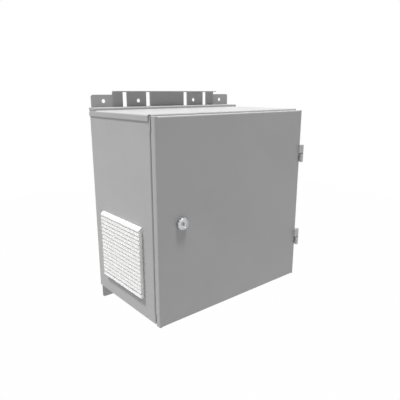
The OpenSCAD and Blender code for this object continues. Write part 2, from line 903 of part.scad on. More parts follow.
// Places of the two screws of each hinge leaf, on the body's right side
module leaf_screw_places() {
    for (z = hinge_zs) {
        leaf_screw_pair(z) children();
    }
}

module leaf_screw_pair(z) {
    low_mid_z = z - (knuckle_gap + knuckle_l) / 2;
    for (s = [-1, 1]) {
        translate([side_x, front_y + fold_out + leaf_l / 2 + s * hinge_screw_gap / 2, low_mid_z]) children();
    }
}

// Fixed half: the lower knuckle, an arm past the door's edge and a leaf on the body's side
module hinge_fixed_half(z) {
    leaf_y = front_y + fold_out;
    leaf_back_x = side_x + leaf_t;
    color(zinc) difference() {
        along_z(z - knuckle_gap / 2 - knuckle_l, z - knuckle_gap / 2) {
            translate([pin_x, pin_y]) circle(knuckle_r);
            translate([side_x + arm_gap, pin_y]) square([leaf_t - arm_gap, leaf_y - pin_y]);
            translate([side_x, leaf_y]) square([leaf_t, leaf_l]);
        }
        translate([pin_x, pin_y, z - knuckle_l - knuckle_gap])
            cylinder(h = 2 * knuckle_l, r = pin_r + pin_hold);
        leaf_screw_pair(z) rod_x(-over, leaf_back_x - side_x + over, leaf_screw_r + screw_fit);
    }
}

module pad_screw_pair(z) {
    high_mid_z = z + (knuckle_gap + knuckle_l) / 2;
    for (s = [-1, 1]) {
        translate([side_x - pad_screw_in, 0, high_mid_z + s * hinge_screw_gap / 2]) children();
    }
}

// Moving half: the upper knuckle with a pad on the door's front
module hinge_moving_half(z) {
    color(zinc) difference() {
        along_z(z + knuckle_gap / 2, z + knuckle_gap / 2 + knuckle_l) {
            translate([pin_x, pin_y]) circle(knuckle_r);
            translate([side_x - pad_l, door_front_y - pad_t]) square([pad_l + pin_out, pad_t]);
        }
        translate([pin_x, pin_y, z - over]) cylinder(h = 2 * knuckle_l, r = pin_r + pin_run);
        pad_screw_pair(z)
            rod_y(door_front_y - pad_t / 2 - over, door_front_y + over, pad_screw_r + screw_fit);
    }
}

module hinge_pin(z) {
    pin_low_z = z - knuckle_gap / 2 - knuckle_l;
    color(zinc) translate([pin_x, pin_y, pin_low_z]) {
        cylinder(h = 2 * knuckle_l + knuckle_gap, r = pin_r);
        translate([0, 0, -pin_head_t]) cylinder(h = pin_head_t, r = pin_head_r);
    }
}

module upper_hinge_fixed_half() {
    hinge_fixed_half(hinge_zs[0]);
}

module lower_hinge_fixed_half() {
    hinge_fixed_half(hinge_zs[1]);
}

module upper_hinge_moving_half() {
    hinge_moving_half(hinge_zs[0]);
}

module lower_hinge_moving_half() {
    hinge_moving_half(hinge_zs[1]);
}

module upper_hinge_pin() {
    hinge_pin(hinge_zs[0]);
}

module lower_hinge_pin() {
    hinge_pin(hinge_zs[1]);
}

module hinge_washers() {
    color(dark_plastic) for (z = hinge_zs) {
        translate([pin_x, pin_y, z - knuckle_gap / 2]) difference() {
            cylinder(h = washer_t, r = washer_r);
            translate([0, 0, -over]) cylinder(h = washer_t + 2 * over, r = pin_r + pin_run);
        }
    }
}

module hinge_leaf_screws() {
    color(zinc) leaf_screw_places() {
        rod_x(-leaf_screw_l, leaf_t, leaf_screw_r);
        rod_x(leaf_t, leaf_t + head_t_ratio * leaf_screw_r, head_ratio * leaf_screw_r);
    }
}

module hinge_pad_screws() {
    color(zinc) for (z = hinge_zs) {
        pad_screw_pair(z) {
            rod_y(door_front_y - pad_t / 2, door_inner_y, pad_screw_r);
            rod_y(door_inner_y, door_inner_y + head_t_ratio * pad_screw_r, head_ratio * pad_screw_r);
        }
    }
}

// One upright edge of the door: the bend runs over the full height, and the lip stops short of the corners
module door_edge() {
    edge_in_r = door_edge_r - sheet_t;
    lip_low_z = floor_z + relief_low_h;
    lip_high_z = top_z - relief_top_h;
    along_z(floor_z, door_top_z) translate([side_x, door_front_y]) mirror([1, 0])
        fold_section(door_edge_r + over, door_d - fold_out, sheet_t, edge_in_r);
    along_z(lip_low_z, lip_high_z) translate([side_x, door_back_y]) rotate(180)
        fold_section(door_lip_w, fold_out + over, sheet_t, fold_r);
}

// Top edge of the door: the rim's bend stops short of the corners, and the lip shorter still
module door_rim() {
    rim_in_r = door_rim_r - sheet_t;
    bend_x = side_x - door_edge_r - door_notch_w;
    along_x(-bend_x, bend_x) translate([door_front_y, door_top_z]) mirror([0, 1])
        fold_section(door_rim_r + over, door_rim_r + over, sheet_t, rim_in_r);
    along_x(sheet_t - side_x, side_x - sheet_t)
        translate([door_front_y + door_rim_r, door_top_z - sheet_t])
            square([door_d - fold_out - door_rim_r, sheet_t]);
    both_sides() along_x(side_x - door_lip_end, side_x - sheet_t)
        translate([door_back_y - fold_out - over, door_top_z - sheet_t])
            square([fold_out + over, sheet_t]);
    along_x(door_lip_end - side_x, side_x - door_lip_end)
        translate([door_back_y, door_top_z]) rotate(180)
            fold_section(fold_out + over, door_lip_w, sheet_t, fold_r);
}

module door_pan() {
    sheet_w = body_w - 2 * door_edge_r;
    sheet_h = door_h - 2 * door_rim_r;
    color(paint) difference() {
        union() {
            along_y(door_front_y, door_inner_y)
                translate([0, door_mid_z]) square([sheet_w, sheet_h], center = true);
            both_sides() door_edge();
            door_rim();
            translate([0, 0, 2 * door_mid_z]) mirror([0, 0, 1]) door_rim();
        }
        latch_place() rod_y(door_front_y - over, door_inner_y + over, barrel_r + screw_fit);
        for (z = hinge_zs) {
            pad_screw_pair(z) rod_y(door_front_y - over, door_inner_y + over, pad_screw_r + screw_fit);
        }
    }
}

// Hat channels that stiffen the door's front
module door_stiffeners() {
    half = stiffener_w / 2;
    color(paint) both_sides() translate([side_x - stiffener_edge, door_inner_y, 0])
        along_z(floor_z + stiffener_end, door_top_z - stiffener_end) both_sides() {
            translate([half, stiffener_d]) rotate(180)
                fold_section(half, stiffener_d - sheet_t, sheet_t, fold_r);
            translate([half - sheet_t, 0])
                fold_section(stiffener_foot, stiffener_d - fold_out, sheet_t, fold_r);
        }
}

// Section of the gasket: straight sides, with a round crown towards the frame
module gasket_section() {
    depth = gasket_back_y - door_inner_y;
    intersection() {
        translate([-gasket_w / 2, 0]) square([gasket_w, depth]);
        translate([0, depth - gasket_crown_r]) circle(r = gasket_crown_r);
    }
}

// Foam ring that the front frame's sealing lip presses into
module door_gasket() {
    run_x = side_x - frame_w + sheet_t / 2 - gasket_corner_r;
    run_z = top_z - frame_w + sheet_t / 2 - gasket_corner_r;
    color(rubber) translate([0, door_inner_y, 0]) both_sides() {
        translate([run_x + gasket_corner_r, 0, 0]) along_z(-run_z, run_z) gasket_section();
        for (flip = [0, 1]) mirror([0, 0, flip]) {
            translate([0, 0, -run_z - gasket_corner_r])
                along_x(-over, run_x) rotate(-90) gasket_section();
            translate([run_x, 0, -run_z]) rotate([-90, 0, 0])
                rotate_extrude(angle = 90) translate([gasket_corner_r, 0]) gasket_section();
        }
    }
}

module latch_place() {
    translate([latch_x, 0, latch_mid_z]) children();
}

module latch_housing() {
    color(zinc) latch_place() difference() {
        union() {
            rod_y(door_front_y - escutcheon_t, door_front_y, escutcheon_r);
            rod_y(door_front_y, door_front_y + barrel_l, barrel_r);
        }
        rod_y(door_front_y - escutcheon_t - over, door_front_y + barrel_l + over, spindle_r + spindle_run);
    }
}

module latch_nut() {
    color(zinc) latch_place() difference() {
        hex_y(door_inner_y, door_inner_y + nut_t, nut_flats / sqrt(3));
        rod_y(door_inner_y - over, door_inner_y + nut_t + over, barrel_r + pin_hold);
    }
}

// Round knob with finger hollows and a dished face, on a spindle with a square end
module latch_knob() {
    color(zinc) latch_place() {
        difference() {
            translate([0, knob_back_y, 0]) rotate([90, 0, 0]) rotate_extrude() polygon([
                [0, 0], [knob_r - knob_back_cut, 0], [knob_r, knob_back_cut],
                [knob_r, knob_t - knob_face_cut], [knob_r - knob_face_cut, knob_t],
                [dish_r + over, knob_t], [dish_r, knob_t - dish_d], [0, knob_t - dish_d]
            ]);
            for (i = [0 : scallop_n - 1]) {
                rotate([0, i * 360 / scallop_n, 0]) translate([knob_r + scallop_r - scallop_d, 0, 0])
                    rod_y(knob_front_y - over, knob_back_y + over, scallop_r);
            }
            rod_y(knob_front_y - over, knob_front_y + dish_d + key_d + over, core_r + pin_hold);
        }
        rod_y(knob_back_y, cam_y, spindle_r);
        along_y(cam_y, cam_y + cam_t) square(square_w, center = true);
    }
}

// Lock core in the knob's face, with the key slot
module lock_core() {
    core_back_y = knob_front_y + dish_d + key_d + over;
    color(dark_plastic) latch_place() difference() {
        rod_y(knob_front_y + over, core_back_y, core_r);
        along_y(knob_front_y, knob_front_y + over + key_d) square([key_w, key_l], center = true);
    }
}

// Cam on the spindle, shown turned down, clear of the frame
module latch_cam() {
    color(zinc) latch_place() along_y(cam_y, cam_y + cam_t) difference() {
        union() {
            circle(cam_w / 2);
            translate([-cam_w / 2, cam_w / 2 - cam_l]) square([cam_w, cam_l - cam_w / 2]);
            translate([0, cam_w / 2 - cam_l]) circle(cam_w / 2);
        }
        square(square_w + 2 * pin_run, center = true);
    }
}

module cam_screw() {
    color(zinc) latch_place() hex_y(cam_y + cam_t, cam_y + 2 * cam_t, head_ratio * spindle_r);
}

body_wrap();
left_front_upright();
right_front_upright();
back_panel();
roof_cap();
rear_roof_rail();
upper_bracket();
lower_bracket();
bracket_screws();
bracket_nuts();
left_rack_rail();
right_rack_rail();
rail_brackets();
rail_screws();
gland_plate();
gland_plate_screws();
earth_stud();
earth_nut();
filter_grille();
filter_housing();
filter_mat();
fan_frame();
fan_motor();
fan_rotor();
fan_guard();
fan_screws();
upper_hinge_fixed_half();
lower_hinge_fixed_half();
upper_hinge_pin();
lower_hinge_pin();
hinge_washers();
hinge_leaf_screws();
upper_hinge_moving_half();
lower_hinge_moving_half();
hinge_pad_screws();
door_pan();
door_stiffeners();
door_gasket();
latch_housing();
latch_nut();
latch_knob();
lock_core();
latch_cam();
cam_screw();
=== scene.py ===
# %% [markdown]
# # Dressing a wall-mounted telecom cabinet
#
# The object is a folded steel cabinet for a wall or a pole, painted light grey. It has a full-size
# hinged door with a round latch knob, a white filter grille in its left side, and slotted brackets
# above and below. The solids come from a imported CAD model, so this lesson is about finishes, small
# fasteners, soft pieces, light and camera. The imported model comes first, because every new piece
# takes its place from it.

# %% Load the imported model
import math

import bmesh
import bpy
from mathutils import Matrix, Vector, noise


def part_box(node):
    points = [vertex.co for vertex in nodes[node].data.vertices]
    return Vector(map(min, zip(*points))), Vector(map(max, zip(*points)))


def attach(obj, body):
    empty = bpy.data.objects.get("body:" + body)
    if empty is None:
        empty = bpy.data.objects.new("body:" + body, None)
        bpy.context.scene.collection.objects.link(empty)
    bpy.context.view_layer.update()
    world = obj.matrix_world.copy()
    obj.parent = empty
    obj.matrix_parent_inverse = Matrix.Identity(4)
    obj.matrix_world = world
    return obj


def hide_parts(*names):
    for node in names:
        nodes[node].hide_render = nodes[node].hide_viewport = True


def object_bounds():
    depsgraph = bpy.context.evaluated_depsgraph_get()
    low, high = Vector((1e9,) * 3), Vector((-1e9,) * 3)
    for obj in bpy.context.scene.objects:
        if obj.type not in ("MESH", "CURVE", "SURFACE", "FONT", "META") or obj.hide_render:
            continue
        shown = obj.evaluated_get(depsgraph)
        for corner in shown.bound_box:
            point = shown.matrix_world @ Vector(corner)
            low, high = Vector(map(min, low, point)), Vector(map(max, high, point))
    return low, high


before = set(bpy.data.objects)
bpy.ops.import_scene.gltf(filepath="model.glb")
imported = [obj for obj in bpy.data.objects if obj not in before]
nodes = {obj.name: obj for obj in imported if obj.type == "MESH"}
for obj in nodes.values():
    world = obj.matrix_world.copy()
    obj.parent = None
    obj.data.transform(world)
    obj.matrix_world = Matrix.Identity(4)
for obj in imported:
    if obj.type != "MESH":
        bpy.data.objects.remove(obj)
cad_low, cad_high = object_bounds()
MM = 0.001
print("CAD box in mm:", [round(v / MM, 1) for v in cad_low], [round(v / MM, 1) for v in cad_high])

# %% [markdown]
# ## The camera
#
# The photograph was taken from the left and a little above. Its edges were fitted with a pinhole
# camera, and these are the numbers of that fit. A camera could be aimed with a Track To constraint,
# but a plain turn is easier to read and stays put when other views move the camera.

# %% Place the camera
CAMERA_AT_MM = (-988.9, -1389.3, 391.8)
CAMERA_TURN_DEG = 39.8317
CAMERA_DIP_DEG = 14.4666
LENS_MM = 37.763
SENSOR_MM = 36.0

turn, dip = math.radians(CAMERA_TURN_DEG), math.radians(CAMERA_DIP_DEG)
sight = Vector((math.sin(turn) * math.cos(dip), math.cos(turn) * math.cos(dip), -math.sin(dip)))
camera = bpy.data.objects.new("photo_camera", bpy.data.cameras.new("photo_camera"))
camera.data.lens = LENS_MM
camera.data.sensor_width = SENSOR_MM
camera.location = Vector(CAMERA_AT_MM) * MM
camera.rotation_euler = sight.to_track_quat("-Z", "Y").to_euler()
bpy.context.scene.collection.objects.link(camera)
bpy.context.scene.camera = camera
print("Camera looks along", [round(v, 3) for v in sight])

# %% [markdown]
# ## Helpers for finishes
#
# Paint charts give colours as sRGB hex values, but shaders work in linear light, so one function
# turns hex into linear. Node trees get long, so a second function adds one node with its settings,
# its values and its links in a single call. The rest are steps that most finishes share: a noise
# pattern mostly stays between 0.3 and 0.7, so tones and roughness are spread over that range.


# %% Colour and node helpers
def linear(hex_colour):
    """Turn an sRGB hex colour such as #b4b4b4 into linear RGBA."""
    parts = [int(hex_colour[i:i + 2], 16) / 255 for i in (1, 3, 5)]
    return tuple(c / 12.92 if c <= 0.04045 else ((c + 0.055) / 1.055) ** 2.4 for c in parts) + (1.0,)


def add_node(tree, kind, values=None, **settings):
    """Add a node; a value is a number, a colour, or another node's output to link from."""
    node = tree.nodes.new(kind)
    for name, setting in settings.items():
        setattr(node, name, setting)
    for name, value in (values or {}).items():
        if isinstance(value, bpy.types.NodeSocket):
            tree.links.new(value, node.inputs[name])
        else:
            node.inputs[name].default_value = value
    return node


def new_finish(name):
    """Start a material: its tree, its shader and the Object coordinates that its patterns read."""
    material = bpy.data.materials.new(name)
    material.use_nodes = True
    tree = material.node_tree
    tree.nodes.clear()
    shader = add_node(tree, "ShaderNodeBsdfPrincipled")
    add_node(tree, "ShaderNodeOutputMaterial", {"Surface": shader.outputs["BSDF"]})
    place = add_node(tree, "ShaderNodeTexCoord").outputs["Object"]
    return material, tree, shader, place


NOISE_LOW = 0.3
NOISE_HIGH = 0.7


def two_tones(tree, pattern, dark, light):
    """Colour a pattern: dark in its low parts, light in its high parts, a blend between."""
    ramp = add_node(tree, "ShaderNodeValToRGB", {"Fac": pattern})
    for stop, position, tone in zip(ramp.color_ramp.elements, (NOISE_LOW, NOISE_HIGH), (dark, light)):
        stop.position = position
        stop.color = linear(tone)
    return ramp


def wander(tree, pattern, least, most):
    """Let a roughness wander between two values as a noise pattern does."""
    spread = add_node(tree, "ShaderNodeMapRange",
                      {"Value": pattern, "From Min": NOISE_LOW, "From Max": NOISE_HIGH,
                       "To Min": least, "To Max": most})
    return spread.outputs["Result"]


def per_metre(size_mm):
    """Scale of a pattern whose features are this many millimetres wide."""
    return 1000 / size_mm


print("Light grey paint in linear light:", [round(c, 3) for c in linear("#b4b4b4")])

# %% [markdown]
# ## Powder-coated steel
#
# The cabinet's sheet steel is powder coated: dry paint is sprayed on and melted, which leaves a
# satin skin with a faint orange-peel ripple. A flat grey would look like cardboard, so the paint
# gets three slow changes: a hardly visible drift of tone, a roughness that wanders, and the ripple
# as bump. Real ripple is 1 to 2 mm wide. One pixel of the picture covers nearly 4 mm, so the ripple
# is drawn at 4 mm, as coarse as it needs to show.

# %% Make the paint
TONE_DRIFT_MM = 160
ORANGE_PEEL_MM = 4
PEEL_DEPTH_MM = 0.05
PEEL_STRENGTH = 0.25
COAT_ROUGHNESS = (0.42, 0.52)


def powder_coat(name, dark, light):
    """Satin powder coat between two close tones."""
    material, tree, shader, place = new_finish(name)
    drift = add_node(tree, "ShaderNodeTexNoise",
                     {"Vector": place, "Scale": per_metre(TONE_DRIFT_MM), "Detail": 3.0})
    tone = two_tones(tree, drift.outputs["Fac"], dark, light)
    peel = add_node(tree, "ShaderNodeTexNoise",
                    {"Vector": place, "Scale": per_metre(ORANGE_PEEL_MM), "Detail": 1.0})
    gloss = wander(tree, peel.outputs["Fac"], *COAT_ROUGHNESS)
    bump = add_node(tree, "ShaderNodeBump",
                    {"Height": peel.outputs["Fac"], "Strength": PEEL_STRENGTH,
                     "Distance": PEEL_DEPTH_MM * MM})
    tree.links.new(tone.outputs["Color"], shader.inputs["Base Color"])
    tree.links.new(gloss, shader.inputs["Roughness"])
    tree.links.new(bump.outputs["Normal"], shader.inputs["Normal"])
    return material


light_grey_coat = powder_coat("light_grey_powder_coat", "#b2b2b2", "#b6b6b6")
print("Made", light_grey_coat.name)

# %% [markdown]
# ## Zinc, plastics, foam and fleece
#
# The hardware is zinc plated: a metal with a cool, slightly cloudy shine. The knob is die-cast zinc
# and its lock core dull nickel, so they share that recipe with other tones. The hinges are cast too,
# under a silver lacquer. The rack rails are galvanised, which shows as a mosaic of crystals a few
# millimetres wide. The grille is white moulded ABS and the fan is black nylon, both with the fine
# grain of a mould. Light goes a few millimetres into white ABS, which softens the shadows under the
# slats. The gasket is closed foam with small pores.

# %% Write the recipes
CRYSTAL_ROUGHNESS = (0.3, 0.5)
CRYSTAL_TONES = ("#aeb2b5", "#cdd0d2")
GRAIN_STRENGTH = 0.4


def zinc_plate(name, dark, light, rough_low, rough_high, cloud_mm):
    """Plated metal whose tone and shine wander in clouds."""
    material, tree, shader, place = new_finish(name)
    cloud = add_node(tree, "ShaderNodeTexNoise",
                     {"Vector": place, "Scale": per_metre(cloud_mm), "Detail": 4.0})
    tone = two_tones(tree, cloud.outputs["Fac"], dark, light)
    gloss = wander(tree, cloud.outputs["Fac"], rough_low, rough_high)
    tree.links.new(tone.outputs["Color"], shader.inputs["Base Color"])
    tree.links.new(gloss, shader.inputs["Roughness"])
    shader.inputs["Metallic"].default_value = 1.0
    return material


def galvanised(name, crystal_mm):
    """Hot-dip zinc: flat crystals that differ a little in tone and shine."""
    material, tree, shader, place = new_finish(name)
    crystals = add_node(tree, "ShaderNodeTexVoronoi", {"Vector": place, "Scale": per_metre(crystal_mm)})
    shade = add_node(tree, "ShaderNodeSeparateColor", {"Color": crystals.outputs["Color"]})
    tone = two_tones(tree, shade.outputs["Red"], *CRYSTAL_TONES)
    least, most = CRYSTAL_ROUGHNESS
    gloss = add_node(tree, "ShaderNodeMapRange",
                     {"Value": shade.outputs["Green"], "To Min": least, "To Max": most})
    tree.links.new(tone.outputs["Color"], shader.inputs["Base Color"])
    tree.links.new(gloss.outputs["Result"], shader.inputs["Roughness"])
    shader.inputs["Metallic"].default_value = 1.0
    return material


def moulded(name, dark, light, roughness, grain_mm, grain_depth_mm):
    """Moulded plastic or foam: near-even colour, with the grain of its mould or its pores."""
    material, tree, shader, place = new_finish(name)
    grain = add_node(tree, "ShaderNodeTexNoise",
                     {"Vector": place, "Scale": per_metre(grain_mm), "Detail": 2.0})
    tone = two_tones(tree, grain.outputs["Fac"], dark, light)
    bump = add_node(tree, "ShaderNodeBump",
                    {"Height": grain.outputs["Fac"], "Strength": GRAIN_STRENGTH,
                     "Distance": grain_depth_mm * MM})
    tree.links.new(tone.outputs["Color"], shader.inputs["Base Color"])
    tree.links.new(bump.outputs["Normal"], shader.inputs["Normal"])
    shader.inputs["Roughness"].default_value = roughness
    return material


print("Recipes:", zinc_plate.__name__, galvanised.__name__, moulded.__name__)

# %% Make the other finishes
ABS_GLOW_MM = 3
ABS_GLOW = 0.5

zinc = zinc_plate("zinc_plated_steel", "#bcc0c3", "#cbced0", 0.30, 0.42, 9)
die_cast = zinc_plate("die_cast_zinc", "#c4c6c7", "#cecfd0", 0.26, 0.36, 14)
core_nickel = zinc_plate("dull_nickel_lock_core", "#9c9ea0", "#a8aaac", 0.35, 0.45, 6)
lacquered_cast = moulded("silver_lacquered_cast_zinc", "#cbccce", "#d4d5d6", 0.32, 3, 0.02)
galvanised_sheet = galvanised("galvanised_rail_steel", 7)
white_abs = moulded("white_moulded_abs", "#f8f8f7", "#fbfbfa", 0.45, 3, 0.03)
abs_shader = next(part for part in white_abs.node_tree.nodes if part.type == "BSDF_PRINCIPLED")
abs_shader.inputs["Subsurface Weight"].default_value = ABS_GLOW
abs_shader.inputs["Subsurface Radius"].default_value = (1, 1, 1)
abs_shader.inputs["Subsurface Scale"].default_value = ABS_GLOW_MM * MM
black_nylon = moulded("black_moulded_nylon", "#2a2b2d", "#323335", 0.5, 3, 0.04)
foam = moulded("black_foam_rubber", "#222223", "#2f2f30", 0.85, 2.5, 0.4)
fleece = moulded("filter_fleece", "#ececea", "#f6f6f4", 0.95, 2.5, 0.8)
print("Made", len(bpy.data.materials), "materials in all")

# %% [markdown]
# ## Finishes onto the CAD nodes
#
# Every CAD node gets a finish in its own material slots. A list of finishes with their nodes is
# easier to check than one line for each node, and what it doesn't name is zinc-plated hardware.

# %% Give each node its finish
FINISHES = {
    light_grey_coat: (
        "body_wrap", "left_front_upright", "right_front_upright", "back_panel", "roof_cap",
        "rear_roof_rail", "upper_bracket", "lower_bracket", "gland_plate", "door_pan",
        "door_stiffeners",
    ),
    galvanised_sheet: ("left_rack_rail", "right_rack_rail", "rail_brackets"),
    die_cast: ("latch_knob", "latch_housing"),
    core_nickel: ("lock_core",),
    lacquered_cast: (
        "upper_hinge_fixed_half", "lower_hinge_fixed_half",
        "upper_hinge_moving_half", "lower_hinge_moving_half",
    ),
    white_abs: ("filter_grille", "filter_housing"),
    black_nylon: ("fan_frame", "fan_rotor", "hinge_washers"),
    foam: ("door_gasket",),
    fleece: ("filter_mat",),
}
finish_of = {node: material for material, names in FINISHES.items() for node in names}
for name, node in nodes.items():
    material = finish_of.get(name, zinc)
    if not node.material_slots:
        node.data.materials.append(material)
    for node_slot in node.material_slots:
        node_slot.material = material
print("Finished", len(nodes), "CAD nodes")

# %% [markdown]
# ## The filter mat
#
# The mat is a pad of loose polyester fleece, cut to the tray's size. Cut fleece has no sharp edges
# and its face is never flat. It could be made with hair, but only its louvre-sliced face is ever
# seen, so a finely divided block with a little noise is enough. It is a soft piece, so it replaces
# the plain CAD block.


# %% Make the fleece mat
def add_piece(name, shape, material, body):
    """Turn a bmesh into a finished piece that rides on a body."""
    mesh = bpy.data.meshes.new(name)
    shape.to_mesh(mesh)
    shape.free()
    mesh.materials.append(material)
    piece = bpy.data.objects.new(name, mesh)
    bpy.context.scene.collection.objects.link(piece)
    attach(piece, body)
    return piece


def shade_smooth(shape):
    """Round shading over every face of a bmesh."""
    for face in shape.faces:
        face.smooth = True


MAT_EDGE_MM = 3
MAT_EDGE_STEPS = 3
MAT_CUTS = 60
LONG_EDGE_MM = 30
LOFT_MM = 0.8
LOFT_SIZE_MM = 12

mat_low, mat_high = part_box("filter_mat")
mat_middle, mat_size = (mat_low + mat_high) / 2, mat_high - mat_low
shape = bmesh.new()
mat_place = Matrix.Translation(mat_middle) @ Matrix.Diagonal((*mat_size, 1))
bmesh.ops.create_cube(shape, size=1, matrix=mat_place)
bmesh.ops.bevel(shape, geom=shape.edges[:], offset=MAT_EDGE_MM * MM, affect="EDGES",
                segments=MAT_EDGE_STEPS, profile=0.5, material=-1)
long_edges = [edge for edge in shape.edges if edge.calc_length() > LONG_EDGE_MM * MM]
bmesh.ops.subdivide_edges(shape, edges=long_edges, cuts=MAT_CUTS, use_grid_fill=True)
for vert in shape.verts:
    sink = (1 + noise.noise(vert.co / (LOFT_SIZE_MM * MM))) / 2
    vert.co -= (vert.co - mat_middle).normalized() * sink * LOFT_MM * MM
shade_smooth(shape)
mat = add_piece("fleece_filter_mat", shape, fleece, "cabinet")
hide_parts("filter_mat")
print("Fleece mat:", len(mat.data.polygons), "faces")

# %% [markdown]
# ## The louvred grille
#
# The grille is one ABS moulding over the filter. Its slats lap over each other like boards on a
# barn, so rain runs off and air goes in behind each lip. The CAD grille has straight blades and a
# few more of them; here the slats are counted and spaced as the photograph shows them. An array of
# one slat would do, but the bands above and below differ, so each part of the section is an outline
# drawn out sideways. Bands and slats run between two end walls, whose front edge follows the slats.

# %% Work out the grille's sections
SLATS = 15
SLAT_PITCH_MM = 13.97
SLAT_STEP_MM = 3
SLAT_LAP_MM = 3
SLAT_T_MM = 1.8
LIP_ROUND_MM = 0.5
LIP_ROUND_STEPS = 2
TOP_LIP_MM = 4
TOP_SLOPE_MM = 9
TOP_LAND_MM = 3
BOTTOM_STEP_MM = 5.5
BOTTOM_EDGE_MM = 3
END_WALL_MM = 3

grille_low, grille_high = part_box("filter_grille")
out_mm, wide_mm, high_mm = (side / MM for side in grille_high - grille_low)
top_lip = high_mm - TOP_SLOPE_MM - TOP_LIP_MM
lips = [top_lip - (i + 1) * SLAT_PITCH_MM for i in range(SLATS)]
slat_lap = SLAT_STEP_MM * (1 + SLAT_LAP_MM / SLAT_PITCH_MM)
bottom_lap = BOTTOM_STEP_MM * (1 + SLAT_LAP_MM / (lips[-1] - BOTTOM_EDGE_MM))
# Each section is a list of points: how far out of the cabinet's side, and how far up from the foot.
top_band = [
    (0, high_mm), (TOP_LAND_MM, high_mm), (out_mm, high_mm - TOP_SLOPE_MM), (out_mm, top_lip),
    (out_mm - SLAT_T_MM, top_lip), (out_mm - SLAT_T_MM, high_mm - TOP_SLOPE_MM - SLAT_T_MM / 2),
    (TOP_LAND_MM - SLAT_T_MM / 2, high_mm - SLAT_T_MM), (0, high_mm - SLAT_T_MM),
]
bottom_band = [
    (0, 0), (out_mm - BOTTOM_EDGE_MM, 0), (out_mm, BOTTOM_EDGE_MM),
    (out_mm - bottom_lap, lips[-1] + SLAT_LAP_MM),
    (out_mm - bottom_lap - SLAT_T_MM, lips[-1] + SLAT_LAP_MM),
    (out_mm - SLAT_T_MM, BOTTOM_EDGE_MM + SLAT_T_MM / 2),
    (out_mm - BOTTOM_EDGE_MM - SLAT_T_MM / 2, SLAT_T_MM), (0, SLAT_T_MM),
]
end_wall = [
    (0, 0), (out_mm - BOTTOM_EDGE_MM, 0), (out_mm, BOTTOM_EDGE_MM), (out_mm - BOTTOM_STEP_MM, lips[-1]),
]
for lip in reversed(lips):
    end_wall += [(out_mm, lip), (out_mm - SLAT_STEP_MM, lip + SLAT_PITCH_MM)]
end_wall += [(out_mm, top_lip), (out_mm, high_mm - TOP_SLOPE_MM), (TOP_LAND_MM, high_mm), (0, high_mm)]
rib_out = out_mm - slat_lap - SLAT_T_MM
rib_foot = lips[-1] + SLAT_PITCH_MM
rib = [(0, rib_foot), (rib_out, rib_foot), (rib_out, top_lip), (0, top_lip)]
print("Slat lips from", round(lips[-1], 1), "to", round(lips[0], 1), "mm above the grille's foot")


# %% Mould the grille
def only(kind, geometry):
    """The points or the edges among what an operator gives back."""
    return [part for part in geometry if isinstance(part, kind)]


def draw_out(shape, outline, along):
    """Close an outline with a face and draw it out into a solid; gives the solid's points."""
    base = shape.faces.new([shape.verts.new(point) for point in outline])
    drawn = bmesh.ops.extrude_face_region(shape, geom=[base])["geom"]
    moved = only(bmesh.types.BMVert, drawn)
    bmesh.ops.translate(shape, verts=moved, vec=along)
    return base.verts[:] + moved


def grille_run(shape, section, start_mm, length_mm):
    """Draw a section out along the grille, from its front end towards the wall."""
    y = grille_low.y + start_mm * MM
    outline = [(grille_high.x - out * MM, y, grille_low.z + up * MM) for out, up in section]
    return draw_out(shape, outline, (0, length_mm * MM, 0))


shape = bmesh.new()
inside_mm = wide_mm - 2 * END_WALL_MM
grille_run(shape, top_band, END_WALL_MM, inside_mm)
grille_run(shape, bottom_band, END_WALL_MM, inside_mm)
grille_run(shape, end_wall, 0, END_WALL_MM)
grille_run(shape, end_wall, wide_mm - END_WALL_MM, END_WALL_MM)
grille_run(shape, rib, (wide_mm - END_WALL_MM) / 2, END_WALL_MM)
rounded = []
for lip in lips:
    top = lip + SLAT_PITCH_MM + SLAT_LAP_MM
    slat = [(out_mm, lip), (out_mm - slat_lap, top), (rib_out, top), (out_mm - SLAT_T_MM, lip)]
    points = grille_run(shape, slat, END_WALL_MM, inside_mm)
    outermost = min(vert.co.x for vert in points)
    ends = [vert for vert in points if vert.co.x == outermost]
    rounded += [edge for edge in ends[0].link_edges if edge.other_vert(ends[0]) == ends[1]]
bmesh.ops.bevel(shape, geom=rounded, offset=LIP_ROUND_MM * MM, affect="EDGES",
                segments=LIP_ROUND_STEPS, profile=0.5, material=-1)
bmesh.ops.recalc_face_normals(shape, faces=shape.faces)
grille = add_piece("lapped_slat_grille", shape, white_abs, "cabinet")
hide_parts("filter_grille")
print("Grille:", len(rounded), "slats,", len(grille.data.polygons), "faces")

# %% [markdown]
# ## The door gasket
#
# The gasket is a foam strip glued inside the door. Its section is swept round the door: a straight
# run is the section's loop drawn out, and a corner is the same loop spun by a quarter turn. A curve
# with a bevel profile would do it too, but this way the section stays true in the corners.

# %% Sweep the foam gasket
GASKET_W_MM = 18
GASKET_CROWN_MM = 14
GASKET_CORNER_MM = 16
CROWN_STEPS = 10
CORNER_STEPS = 10
WELD_MM = 0.01

ring_low, ring_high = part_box("door_gasket")
half_w = GASKET_W_MM * MM / 2
crown, corner = GASKET_CROWN_MM * MM, GASKET_CORNER_MM * MM
depth = ring_high.y - ring_low.y
lean = math.asin(half_w / crown)
section = [(-half_w, 0)]
for step in range(CROWN_STEPS + 1):
    angle = lean * (2 * step / CROWN_STEPS - 1)
    section.append((crown * math.sin(angle), depth - crown + crown * math.cos(angle)))
section.append((half_w, 0))

